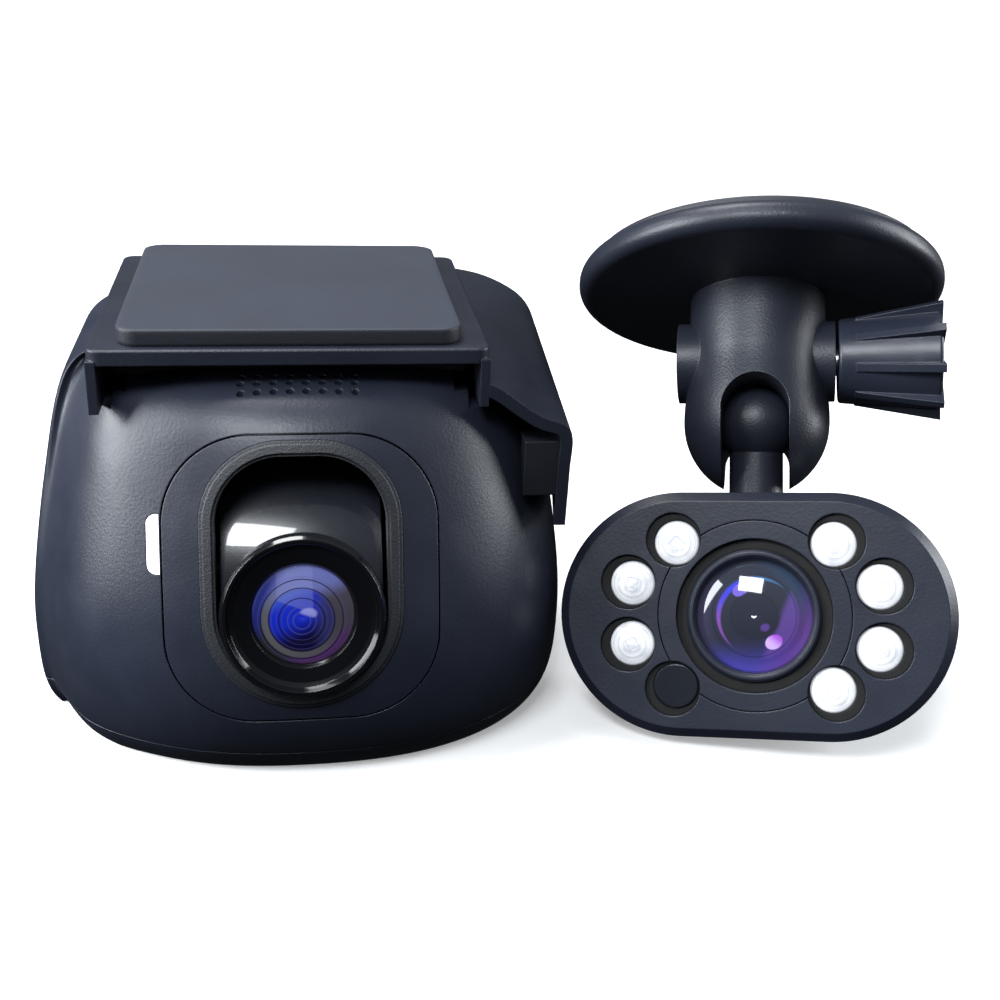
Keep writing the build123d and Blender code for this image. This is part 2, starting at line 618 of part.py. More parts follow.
wing = loft([wing_section(*station) for station in WING_STATIONS], ruled=True)
WING_CORNER = 9.0
wing_right = WING_STATIONS[-1][2][-1][0] + 0.5
wing_rear = WING_STATIONS[-1][0]
corner_square = block(wing_right - WING_CORNER, wing_right + 1, wing_rear - WING_CORNER, wing_rear + 1, 0, 60)
corner_round = Pos(wing_right - WING_CORNER, wing_rear - WING_CORNER, 30) * Cylinder(WING_CORNER, 62)
wing -= corner_square - corner_round
bracket = bracket + wing
adhesive_pad = Pos(BRACKET_X, PAD_FRONT + PAD_SIZE / 2, (PLATE_TOP + PAD_TOP) / 2) * Box(
    PAD_SIZE, PAD_SIZE, PAD_TOP - PLATE_TOP)
adhesive_pad = soften(adhesive_pad, adhesive_pad.edges().filter_by(Axis.Z), 2.6)
adhesive_pad = soften(adhesive_pad, adhesive_pad.faces().sort_by(Axis.Z)[-1].edges(), 0.25)
# The contact block sits on the wing's inner face and nearly closes the gap to the body.
contact_block = block(27.0, 32.3, -16.6, -11.6, 33.0, 40.2)
contact_block -= body_solid(-0.35)
contact_block -= bracket

# ---------------------------------------------------------------- cabin camera head

yaw = radians(HEAD_YAW)
lean = radians(HEAD_LEAN)
roll = radians(HEAD_ROLL)
face_out = Vector(-sin(yaw) * cos(lean), -cos(yaw) * cos(lean), sin(lean))
level_right = Vector(cos(yaw), -sin(yaw), 0)
upright = level_right.cross(face_out * -1)
head_right = level_right * cos(roll) + upright * sin(roll)
head_up = upright * cos(roll) - level_right * sin(roll)
head_straight = HEAD_HALF_LENGTH - HEAD_RADIUS
rim_drop = (HEAD_RADIUS + head_straight * sin(roll)) * cos(lean) + HEAD_BEZEL_DEPTH * sin(lean)
head_plane = Plane(origin=(HEAD_X, HEAD_Y, rim_drop + 0.02), x_dir=head_right, z_dir=head_up)
head_place = head_plane.location


# In the head's own frame +X is right, +Z up along the face and +Y into the head.
def face_plane(x=0, depth=0, z=0):
    """A plane looking out of the face, at a point and a depth behind it."""
    return Plane(origin=(x, depth, z), x_dir=(1, 0, 0), z_dir=(0, -1, 0))


def behind_face(sketch, start, end):
    """Push a face sketch from depth start to depth end behind the face."""
    return extrude(face_plane(depth=start) * sketch, start - end)


def stadium(inset):
    return SlotOverall(2 * (HEAD_HALF_LENGTH - inset), 2 * (HEAD_RADIUS - inset))


def stadium_at(depth, inset):
    return face_plane(depth=depth) * stadium(inset)


led_points = []
for spot_x, spot_z in LED_SPOTS:
    for side_x in (-1, 1):
        for side_z in (-1, 1):
            led_points.append((side_x * spot_x, side_z * spot_z))
SENSOR_POINT = (-LED_SPOTS[0][0], -LED_SPOTS[0][1])
lamp_points = [point for point in led_points if point != SENSOR_POINT]


def leaned_in(point):
    """A lamp's centre, moved towards the lens."""
    distance = sqrt(point[0] ** 2 + point[1] ** 2)
    scale = (distance - LED_SHIFT) / distance
    return (point[0] * scale, point[1] * scale)


TRIM_DEPTH = 1.4
GASKET_DEPTH = 2.0
bezel = behind_face(stadium(0), 0, HEAD_BEZEL_DEPTH)
bezel = chamfer(bezel.faces().sort_by(Axis.Y)[0].edges(), HEAD_CHAMFER)
bezel -= behind_face(stadium(HEAD_WALL), 2.4, HEAD_BEZEL_DEPTH + 1)
bezel -= behind_face(Circle(TRIM_RADIUS + 0.12), -1, TRIM_DEPTH)
bezel -= behind_face(Circle(GASKET_OUTER), -1, HEAD_BEZEL_DEPTH)
for point in led_points:
    bezel -= behind_face(Pos(*point) * Circle(LED_HOLE), -1, HEAD_BEZEL_DEPTH)
trim_ring = behind_face(Circle(TRIM_RADIUS) - Circle(GASKET_OUTER), 0, TRIM_DEPTH)
for point in led_points:
    trim_ring -= behind_face(Pos(*point) * Circle(LED_HOLE), -1, TRIM_DEPTH + 1)
lens_gasket = behind_face(Circle(GASKET_OUTER) - Circle(GASKET_INNER), 0.9, 2.9)


def head_turn(profile):
    """Revolve a (depth, radius) profile about the cabin lens axis."""
    face = make_face(Polyline(*[(radius, depth, 0) for depth, radius in profile], close=True))
    return revolve(face, Axis.Y)


cabin_barrel = head_turn([
    (0.1, GASKET_INNER - 0.35),
    (0.45, GASKET_INNER),
    (9.0, GASKET_INNER),
    (9.0, 6.0),
    (5.2, 6.0),
    (5.2, 5.0),
    (3.4, 5.0),
    (3.0, CABIN_GLASS_RADIUS),
    (0.5, CABIN_GLASS_RADIUS),
    (0.1, CABIN_GLASS_RADIUS + 0.35),
])
cabin_front_glass = dome_lens(CABIN_GLASS_RADIUS - 0.02, -3.0, -0.1, 1.7, face_plane())
cabin_inner_glass = dome_lens(4.9, -5.2, -3.2, 1.4, face_plane())
sleeves = []
lamps = []
for point in led_points:
    inside = leaned_in(point)
    tube = behind_face(Pos(*point) * Circle(LED_HOLE) - Pos(*inside) * Circle(LED_RADIUS + 0.02), 0.55, 4.0)
    sleeves.append(tube)
led_sleeves = group(sleeves)
for point in lamp_points:
    inside = leaned_in(point)
    lamps.append(dome_lens(LED_RADIUS, -4.6, 0.1, 0.7, face_plane(x=inside[0], z=inside[1])))
ir_lamps = group(lamps)
sensor_in = leaned_in(SENSOR_POINT)
light_sensor = behind_face(Pos(*sensor_in) * Circle(LED_RADIUS), 0.15, 4.6)
light_sensor = chamfer(light_sensor.faces().sort_by(Axis.Y)[0].edges(), 0.2)

SHELL_STEPS = [(5.0, 0.0), (7.6, 1.1), (10.2, 3.0), (12.8, 5.6), (14.6, 8.2)]
shell_outer = loft([stadium_at(depth, inset) for depth, inset in SHELL_STEPS])
SHELL_BACK = SHELL_STEPS[-1][0]
inner_steps = [(5.0, 1.8), (7.4, 2.8), (9.8, 4.6), (12.2, 7.4)]
shell_inner = loft([stadium_at(depth, inset) for depth, inset in inner_steps])
stem_boss = rod(4.8, (0, BALL_Y, 9.6), (0, BALL_Y, 15.0))
INSERT_RADIUS = 3.3
INSERT_LOW = 9.8
INSERT_HIGH = 14.6
stem_insert = rod(INSERT_RADIUS, (0, BALL_Y, INSERT_LOW), (0, BALL_Y, INSERT_HIGH))
stem_insert -= rod(STUD_RADIUS + FIT, (0, BALL_Y, INSERT_LOW - 1), (0, BALL_Y, INSERT_HIGH + 1))
rear_shell = shell_outer - shell_inner + stem_boss
boss_trim = behind_face(Rectangle(60, 60), HEAD_BEZEL_DEPTH - 6, HEAD_BEZEL_DEPTH)
rear_shell -= boss_trim
rear_shell -= rod(INSERT_RADIUS, (0, BALL_Y, INSERT_LOW - 3), (0, BALL_Y, INSERT_HIGH))
rear_shell -= rod(STEM_RADIUS + 0.3, (0, BALL_Y, INSERT_HIGH), (0, BALL_Y, 20))
HEAD_SCREWS = [(-15.0, 3.6), (15.0, 3.6), (-15.0, -3.6), (15.0, -3.6)]
head_screw_list = []
for x, z in HEAD_SCREWS:
    rear_shell -= rod(1.7, (x, SHELL_BACK + 1, z), (x, 11.2, z))
    rear_shell += rod(2.4, (x, 5.0, z), (x, 12.6, z)) & shell_outer
    rear_shell -= rod(1.7, (x, SHELL_BACK + 1, z), (x, 11.2, z))
    rear_shell -= rod(0.9, (x, SHELL_BACK + 1, z), (x, 4.0, z))
    shank = rod(0.9, (x, 5.6, z), (x, 11.6, z))
    cap = rod(1.6, (x, 11.2, z), (x, 12.3, z)) - rod(0.7, (x, 11.8, z), (x, 12.6, z))
    head_screw_list.append(shank + cap)
head_screws = group(head_screw_list)
INLET_Z = -1.0
rear_shell -= rod(3.0, (0, 10, INLET_Z), (0, SHELL_BACK + 1, INLET_Z))
cable_inlet = rod(3.0, (0, 11.2, INLET_Z), (0, SHELL_BACK + 0.9, INLET_Z))
cable_inlet += rod(3.8, (0, SHELL_BACK, INLET_Z), (0, SHELL_BACK + 0.9, INLET_Z))
cable_inlet -= rod(2.1, (0, 12.4, INLET_Z), (0, SHELL_BACK + 2, INLET_Z))
cable_inlet += rod(0.5, (0, 12.0, INLET_Z), (0, SHELL_BACK, INLET_Z))
seal_ring = behind_face(stadium(HEAD_WALL + 0.0) - stadium(HEAD_WALL + 0.9), 4.2, 5.0)
led_board = behind_face(stadium(HEAD_WALL + 1.4) - Circle(GASKET_INNER + 0.2), 4.6, 5.6)
for x, z in HEAD_SCREWS:
    led_board -= rod(2.7, (x, 4.0, z), (x, 6.0, z))
led_board -= block(-5.6, 5.6, 0, 12, 9.2, 20.0)
cabin_sensor_board = block(-8.5, 8.5, 9.6, 10.6, -7.5, 7.5)
cabin_sensor_chip = block(-4.0, 4.0, 9.0, 9.6, -3.0, 3.0)

# ---------------------------------------------------------------- ball arm and disc

stem_low = INSERT_LOW + 0.6
ball_stud = Pos(0, BALL_Y, BALL_Z) * Rot(0, 90, 0) * Sphere(BALL_RADIUS)
ball_stud += rod(STEM_RADIUS, (0, BALL_Y, 15.4), (0, BALL_Y, BALL_Z))
ball_stud += rod(STUD_RADIUS, (0, BALL_Y, stem_low), (0, BALL_Y, 15.6))

# The arm's own frame: origin at the ball, +Z along the arm to the disc.
arm_place = Pos(0, BALL_Y, BALL_Z) * Rot(-ARM_LEAN, 0, 0)
jaw_stretch = JAW_DROP / sqrt(1 - (JAW_TIP / JAW_RADIUS) ** 2)
jaw_points = []
JAW_STEPS = 6
tip_angle = asin(JAW_DROP / jaw_stretch)
for step in range(JAW_STEPS + 1):
    angle = tip_angle * step / JAW_STEPS
    jaw_points.append((JAW_RADIUS * cos(angle), 0, -jaw_stretch * sin(angle)))
arm_side = Spline((ARM_RADIUS, 0, 9.0), (ARM_RADIUS + 0.2, 0, 5.0), *jaw_points)
arm_profile = make_face(Wire([
    Line((0, 0, -JAW_DROP), (0, 0, ARM_LENGTH + 0.6)),
    Line((0, 0, ARM_LENGTH + 0.6), (ARM_RADIUS, 0, ARM_LENGTH + 0.6)),
    Line((ARM_RADIUS, 0, ARM_LENGTH + 0.6), (ARM_RADIUS, 0, 9.0)),
    *arm_side.edges(),
    Line((JAW_TIP, 0, -JAW_DROP), (0, 0, -JAW_DROP)),
]))
arm = revolve(arm_profile, Axis.Z)
arm += rod(CLAMP_BOSS_RADIUS, (-CLAMP_BOSS_REACH, 0, CLAMP_HEIGHT), (CLAMP_BOSS_REACH - 0.2, 0, CLAMP_HEIGHT))
disc = Pos(0, 0, ARM_LENGTH + DISC_THICK / 2) * Cylinder(DISC_RADIUS, DISC_THICK)
disc = soften(disc, disc.edges(), 1.7)
arm += disc
arm -= Rot(0, 90, 0) * Sphere(SOCKET_RADIUS)
arm -= rod(JAW_TIP - 0.6, (0, 0, -JAW_DROP - 2), (0, 0, 0))
slot_centre = JAW_SLOT_TOP - JAW_SLOT_HALF
front_slot = rod(JAW_SLOT_HALF, (0, 0, slot_centre), (0, -14, slot_centre))
front_slot += block(-JAW_SLOT_HALF, JAW_SLOT_HALF, -14, 0, -14, slot_centre)
arm -= front_slot
back_slot = rod(JAW_SLOT_HALF, (0, 0, BACK_SLOT_CENTRE), (0, 14, BACK_SLOT_CENTRE))
back_slot += block(-JAW_SLOT_HALF, JAW_SLOT_HALF, 0, 14, -14, BACK_SLOT_CENTRE)
arm -= back_slot
arm -= block(-0.3, 0.3, 0, 14, -14, CLAMP_HEIGHT + 3.6)
arm -= rod(SCREW_RADIUS + FIT, (-14, 0, CLAMP_HEIGHT), (14, 0, CLAMP_HEIGHT))
NUT_FLATS = 6.0
nut_plane = Plane(origin=(-CLAMP_BOSS_REACH, 0, CLAMP_HEIGHT), x_dir=(0, 1, 0), z_dir=(1, 0, 0))
nut_outline = RegularPolygon(NUT_FLATS / 2, 6, major_radius=False)
nut_room = extrude(nut_plane * nut_outline, 2.6)
arm -= nut_room
clamp_nut = extrude(nut_plane * (nut_outline - Circle(SCREW_RADIUS + FIT)), 2.6)
disc_top = ARM_LENGTH + DISC_THICK
cabin_pad = Pos(0, 0, disc_top + DISC_PAD_THICK / 2) * Cylinder(DISC_PAD_RADIUS, DISC_PAD_THICK)
cabin_pad = soften(cabin_pad, cabin_pad.faces().sort_by(Axis.Z)[-1].edges(), 0.3)

# Clamp knob: a drum with flared ribs.
knob_profile = make_face(Polyline(
    (KNOB_START, 0), (KNOB_START, KNOB_RADIUS), (KNOB_END, KNOB_END_RADIUS), (KNOB_END, 0), close=True))
knob = revolve(knob_profile, Axis.X)
knob = soften(knob, knob.edges().filter_by(GeomType.CIRCLE), 0.5)
knob = Pos(0, 0, CLAMP_HEIGHT) * knob
RIB_START = KNOB_START + 2.2
RIB_HALF = 0.55
rib_profile = make_face(Polyline(
    (RIB_START, KNOB_RADIUS - 1.2), (RIB_START, KNOB_RADIUS + 0.35),
    (KNOB_END + 0.2, KNOB_RIB_REACH), (KNOB_END + 0.2, KNOB_RADIUS - 1.2), close=True))
for number in range(KNOB_RIBS):
    rib = extrude(rib_profile, RIB_HALF, both=True)
    turned = Rot(360 / KNOB_RIBS * number + 8, 0, 0) * rib
    knob += Pos(0, 0, CLAMP_HEIGHT) * turned
SCREW_START = -CLAMP_BOSS_REACH + 0.2
knob -= rod(SCREW_RADIUS, (0, 0, CLAMP_HEIGHT), (KNOB_END - 3.0, 0, CLAMP_HEIGHT))
clamp_screw = rod(SCREW_RADIUS, (SCREW_START, 0, CLAMP_HEIGHT), (KNOB_END - 3.0, 0, CLAMP_HEIGHT))

# ---------------------------------------------------------------- write the nodes

save("front_housing", housing)
save("rear_cover", rear)
save("rail_block", rail_block)
save("lens_panel", panel)
save("slot_collar", collar)
save("status_light", light_pipe)
save("lens_drum", drum)
save("lens_ring", ring)
save("lens_barrel", barrel)
save("front_glass", front_glass)
save("inner_glass", inner_glass)
save("sensor_board", drum_sensor)
save("image_chip", drum_chip)
save("pivot_pins", pivot_pins)
save("drum_bearings", drum_bearings)
save("main_board", main_board)
save("board_chips", board_chips)
save("heat_spreader", heat_spreader)
save("supercapacitors", capacitors)
save("screen_module", screen_module)
save("screen_window", screen_window)
save("button_board", button_board)
for button_name, button_shape in buttons.items():
    save(button_name, button_shape)
save("speaker", speaker)
save("speaker_mesh", speaker_mesh)
save("microphone", microphone)
save("card_socket", card_socket)
save("memory_card", memory_card)
save("usb_port", usb_port)
save("bottom_screws", bottom_screws)
save("mount_bracket", bracket)
save("adhesive_pad", adhesive_pad)
save("contact_block", contact_block)

head_nodes = {
    "head_bezel": bezel,
    "head_rear_shell": rear_shell,
    "head_seal": seal_ring,
    "head_trim_ring": trim_ring,
    "cabin_lens_gasket": lens_gasket,
    "cabin_lens_barrel": cabin_barrel,
    "cabin_front_glass": cabin_front_glass,
    "cabin_inner_glass": cabin_inner_glass,
    "lamp_sleeves": led_sleeves,
    "infrared_lamps": ir_lamps,
    "light_sensor": light_sensor,
    "lamp_board": led_board,
    "cabin_sensor_board": cabin_sensor_board,
    "cabin_image_chip": cabin_sensor_chip,
    "stem_insert": stem_insert,
    "cable_inlet": cable_inlet,
    "head_screws": head_screws,
    "ball_stud": ball_stud,
}
for name, shape in head_nodes.items():
    save(name, head_place * shape)
arm_nodes = {
    "disc_arm": arm,
    "cabin_adhesive_pad": cabin_pad,
    "clamp_nut": clamp_nut,
    "clamp_knob": knob,
    "clamp_screw": clamp_screw,
}
for name, shape in arm_nodes.items():
    save(name, head_place * arm_place * shape)
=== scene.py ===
import json
import math

import bpy
from mathutils import Matrix, Vector


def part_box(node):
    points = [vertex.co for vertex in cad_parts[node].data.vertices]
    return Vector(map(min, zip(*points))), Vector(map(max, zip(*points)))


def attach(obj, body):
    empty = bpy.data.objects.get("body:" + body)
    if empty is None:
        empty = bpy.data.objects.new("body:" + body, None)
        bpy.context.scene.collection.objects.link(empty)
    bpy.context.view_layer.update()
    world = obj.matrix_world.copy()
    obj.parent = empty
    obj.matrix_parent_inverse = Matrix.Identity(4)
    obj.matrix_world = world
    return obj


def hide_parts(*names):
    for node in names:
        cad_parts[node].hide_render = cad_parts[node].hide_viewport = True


# The looks of the dash camera kit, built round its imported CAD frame. Metres, +Z up,
# the lenses face -Y.

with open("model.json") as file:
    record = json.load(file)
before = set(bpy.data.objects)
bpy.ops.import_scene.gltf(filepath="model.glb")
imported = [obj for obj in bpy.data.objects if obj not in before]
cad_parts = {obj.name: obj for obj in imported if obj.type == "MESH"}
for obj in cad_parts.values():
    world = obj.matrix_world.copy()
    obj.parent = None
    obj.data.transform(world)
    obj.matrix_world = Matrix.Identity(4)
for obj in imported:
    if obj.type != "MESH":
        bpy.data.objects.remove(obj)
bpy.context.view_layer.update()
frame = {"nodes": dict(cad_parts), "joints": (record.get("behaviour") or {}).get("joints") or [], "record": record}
nodes = frame["nodes"]
record = frame["record"]
scene = bpy.context.scene


# ---------------------------------------------------------------- material graphs

class Graph:
    """Builds one node material; every method returns an output socket."""

    def __init__(self, name):
        self.material = bpy.data.materials.new(name)
        self.material.use_nodes = True
        self.tree = self.material.node_tree
        self.shader = self.tree.nodes["Principled BSDF"]
        self.place = self.node("ShaderNodeTexCoord").outputs["Object"]

    def node(self, kind, **settings):
        made = self.tree.nodes.new(kind)
        for key, value in settings.items():
            setattr(made, key, value)
        return made

    def feed(self, socket, value):
        """Links an output, or sets a constant."""
        if isinstance(value, bpy.types.NodeSocket):
            self.tree.links.new(value, socket)
        else:
            socket.default_value = value

    def math(self, operation, a, b=0.0):
        made = self.node("ShaderNodeMath", operation=operation)
        self.feed(made.inputs[0], a)
        self.feed(made.inputs[1], b)
        return made.outputs[0]

    def vector(self, operation, a, b=(0, 0, 0)):
        made = self.node("ShaderNodeVectorMath", operation=operation)
        self.feed(made.inputs[0], a)
        self.feed(made.inputs[1], b)
        return made.outputs["Value" if operation in ("DOT_PRODUCT", "LENGTH") else "Vector"]

    def mix(self, factor, a, b):
        made = self.node("ShaderNodeMix", data_type="RGBA")
        self.feed(made.inputs["Factor"], factor)
        for socket, value in ((made.inputs[6], a), (made.inputs[7], b)):
            if not isinstance(value, bpy.types.NodeSocket):
                value = (*value, 1.0)
            self.feed(socket, value)
        return made.outputs[2]

    def span(self, value, low, high, out_low=0.0, out_high=1.0, smooth=False):
        """Maps low..high to out_low..out_high, clamped."""
        made = self.node("ShaderNodeMapRange", clamp=True)
        if smooth:
            made.interpolation_type = "SMOOTHSTEP"
        for socket, number in zip(made.inputs, (value, low, high, out_low, out_high)):
            self.feed(socket, number)
        return made.outputs[0]

    def noise(self, scale, detail=3.0, rough=0.55, place=None):
        made = self.node("ShaderNodeTexNoise")
        self.feed(made.inputs["Vector"], place or self.place)
        made.inputs["Scale"].default_value = scale
        made.inputs["Detail"].default_value = detail
        made.inputs["Roughness"].default_value = rough
        return made.outputs[0]

    def cells(self, scale, feature="SMOOTH_F1"):
        made = self.node("ShaderNodeTexVoronoi", feature=feature)
        self.feed(made.inputs["Vector"], self.place)
        made.inputs["Scale"].default_value = scale
        return made.outputs["Distance"]

    def bump(self, height, depth, strength=1.0, normal=None):
        made = self.node("ShaderNodeBump")
        made.inputs["Distance"].default_value = depth
        made.inputs["Strength"].default_value = strength
        self.feed(made.inputs["Height"], height)
        if normal is not None:
            self.feed(made.inputs["Normal"], normal)
        return made.outputs[0]

    def round_edges(self, radius):
        """A softened shading normal and a 0..1 measure of how near a sharp edge is."""
        rounded = self.node("ShaderNodeBevel", samples=6)
        rounded.inputs["Radius"].default_value = radius
        plain = self.node("ShaderNodeNewGeometry").outputs["Normal"]
        agree = self.vector("DOT_PRODUCT", rounded.outputs[0], plain)
        return rounded.outputs[0], self.span(agree, 0.995, 0.80)

    def finish(self, **sockets):
        for name, value in sockets.items():
            socket = self.shader.inputs[name.replace("_", " ")]
            if isinstance(value, tuple) and len(value) == 3 and socket.type == "RGBA":
                value = (*value, 1.0)
            self.feed(socket, value)
        return self.material


def moulded(name, colour, rough, grain=0.00055, depth=0.000022, worn=0.35, edge=0.00022, coat=0.0,
            leather=1.0, variation=0.22):
    """Moulded plastic: a leathery grain, cloudy colour, and edges rubbed paler and smoother."""
    g = Graph(name)
    normal, near_edge = g.round_edges(edge)
    cloud = g.noise(38.0, 4.0)
    fine = g.noise(2600.0, 2.0)
    leathery = g.cells(1.0 / grain)
    patches = g.noise(150.0, 3.0)
    rubbed = g.math("MULTIPLY", near_edge, g.span(patches, 0.35, 0.65, 0.3, 1.0))
    dark = tuple(part * (1.0 - variation) for part in colour)
    light = tuple(part * (1.0 + variation) for part in colour)
    tint = g.mix(g.span(cloud, 0.3, 0.7), dark, light)
    pale = tuple(min(1.0, part * 2.1 + 0.012) for part in colour)
    base = g.mix(g.math("MULTIPLY", rubbed, worn), tint, pale)
    height = g.math("ADD", g.math("MULTIPLY", leathery, leather), g.math("MULTIPLY", fine, 0.45))
    roughness = g.math("ADD", g.span(patches, 0.3, 0.7, rough - 0.03, rough + 0.04),
                       g.math("MULTIPLY", rubbed, -0.08))
    return g.finish(Base_Color=base, Roughness=roughness, Normal=g.bump(height, depth, 1.0, normal),
                    Coat_Weight=coat, Coat_Roughness=0.12, Specular_IOR_Level=0.5)


def polished(name, colour, rough, haze=0.00001, coat=0.4):
    """Polished plastic: faint moulding waves, a light haze of wipe marks, softened edges."""
    g = Graph(name)
    normal, near_edge = g.round_edges(0.00018)
    wave = g.noise(90.0, 2.0)
    wipe = g.noise(900.0, 4.0, 0.7)
    base = g.mix(g.math("MULTIPLY", near_edge, 0.4), colour, tuple(part + 0.03 for part in colour))
    base = g.mix(g.span(wave, 0.35, 0.75, 0.0, 0.35), base, tuple(part * 1.6 + 0.002 for part in colour))
    return g.finish(Base_Color=base, Roughness=g.span(wipe, 0.3, 0.8, rough, rough + 0.05),
                    Normal=g.bump(wave, haze, 0.6, normal), Coat_Weight=coat, Coat_Roughness=0.04)


def metal(name, colour, rough, brush=(1200.0, 40.0, 40.0)):
    """Machined or rolled metal with fine brush lines and a stain here and there."""
    g = Graph(name)
    normal, near_edge = g.round_edges(0.00015)
    scaled = g.vector("MULTIPLY", g.place, brush)
    lines = g.noise(6.0, 3.0, 0.6, scaled)
    stain = g.noise(260.0, 3.0)
    base = g.mix(g.span(stain, 0.45, 0.75, 0.0, 0.5), colour, tuple(part * 0.62 for part in colour))
    base = g.mix(g.math("MULTIPLY", near_edge, 0.5), base, tuple(min(1.0, part * 1.25) for part in colour))
    return g.finish(Base_Color=base, Metallic=1.0,
                    Roughness=g.span(lines, 0.3, 0.7, rough - 0.06, rough + 0.1),
                    Normal=g.bump(lines, 0.000006, 0.7, normal))


def soft_black(name, colour, rough):
    """Rubber: matte, dusty in patches, with a fine skin."""
    g = Graph(name)
    normal, near_edge = g.round_edges(0.0003)
    dust = g.noise(420.0, 4.0, 0.65)
    skin = g.cells(3200.0)
    base = g.mix(g.span(dust, 0.5, 0.85, 0.0, 0.5), colour, tuple(part * 2.2 + 0.0012 for part in colour))
    base = g.mix(g.math("MULTIPLY", near_edge, 0.3), base, tuple(part + 0.006 for part in colour))
    return g.finish(Base_Color=base, Roughness=g.span(dust, 0.3, 0.8, rough, min(1.0, rough + 0.12)),
                    Normal=g.bump(skin, 0.000012, 0.8, normal), Sheen_Weight=0.08)


def circuit(name, colour):
    """Solder resist with paler copper tracks under it and small plated pads."""
    g = Graph(name)
    tracks = g.cells(420.0, "DISTANCE_TO_EDGE")
    pads = g.cells(900.0, "F1")
    weave = g.noise(1600.0, 2.0)
    base = g.mix(g.span(tracks, 0.03, 0.06, 1.0, 0.0), colour, tuple(part * 2.0 for part in colour))
    base = g.mix(g.span(pads, 0.14, 0.11, 0.0, 1.0), base, (0.42, 0.36, 0.2))
    return g.finish(Base_Color=base, Roughness=g.span(weave, 0.3, 0.7, 0.28, 0.42),
                    Normal=g.bump(tracks, 0.00002, 0.5))


# ---------------------------------------------------------------- directions of the parts

def middle(node):
    """The centre of a node's box."""
    low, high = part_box(node)
    return (low + high) / 2


# The driving camera's drum looks up by this angle at rest.
TILT_AT_REST = math.radians(15.0)
lens_up = Vector((0, math.sin(TILT_AT_REST), math.cos(TILT_AT_REST)))
lens_side = Vector((1, 0, 0))

swivel = next(joint for joint in frame["joints"] if joint["name"] == "head_swivel")
pitch = next(joint for joint in frame["joints"] if joint["name"] == "ball_pitch")
head_up = Vector(swivel["axis"]).normalized()
head_side = -Vector(pitch["axis"]).normalized()
head_out = head_side.cross(head_up)
disc_mount = next(mount for mount in record["mounts"] if mount["name"] == "cabin_disc_pad")
disc_middle = Vector(disc_mount["pos_m"])
disc_out = Vector(disc_mount["axis"]).normalized()


def lens_places(g, centre, side, up, radius):
    """Across and up position on a round lens, each as a share of its radius."""
    offset = g.vector("SUBTRACT", g.place, tuple(centre))
    across = g.math("DIVIDE", g.vector("DOT_PRODUCT", offset, tuple(side)), radius)
    high = g.math("DIVIDE", g.vector("DOT_PRODUCT", offset, tuple(up)), radius)
    return across, high


def distance(g, across, high, x=0.0, y=0.0, stretch=1.0, turn=0.0):
    """Distance from a point on the lens, in lens radii, stretched along one direction."""
    dx = g.math("SUBTRACT", across, x)
    dy = g.math("SUBTRACT", high, y)
    c, s = math.cos(math.radians(turn)), math.sin(math.radians(turn))
    along = g.math("ADD", g.math("MULTIPLY", dx, c), g.math("MULTIPLY", dy, s))
    aside = g.math("SUBTRACT", g.math("MULTIPLY", dy, c), g.math("MULTIPLY", dx, s))
    along = g.math("DIVIDE", along, stretch)
    squares = g.math("ADD", g.math("MULTIPLY", along, along), g.math("MULTIPLY", aside, aside))
    return g.math("SQRT", squares)


def leaning(g, across, high, angle, low, top):
    """How far a point lies towards an angle, mapped low..top to 0..1."""
    c, s = math.cos(math.radians(angle)), math.sin(math.radians(angle))
    towards = g.math("ADD", g.math("MULTIPLY", across, c), g.math("MULTIPLY", high, s))
    return g.span(towards, low, top, smooth=True)


def band(g, radius, inner, outer, soft=0.015):
    """1 between two radii, 0 elsewhere."""
    rise = g.span(radius, inner - soft, inner + soft)
    fall = g.span(radius, outer - soft, outer + soft, 1.0, 0.0)
    return g.math("MULTIPLY", rise, fall)


def both(g, a, b):
    """The product of two masks."""
    return g.math("MULTIPLY", a, b)


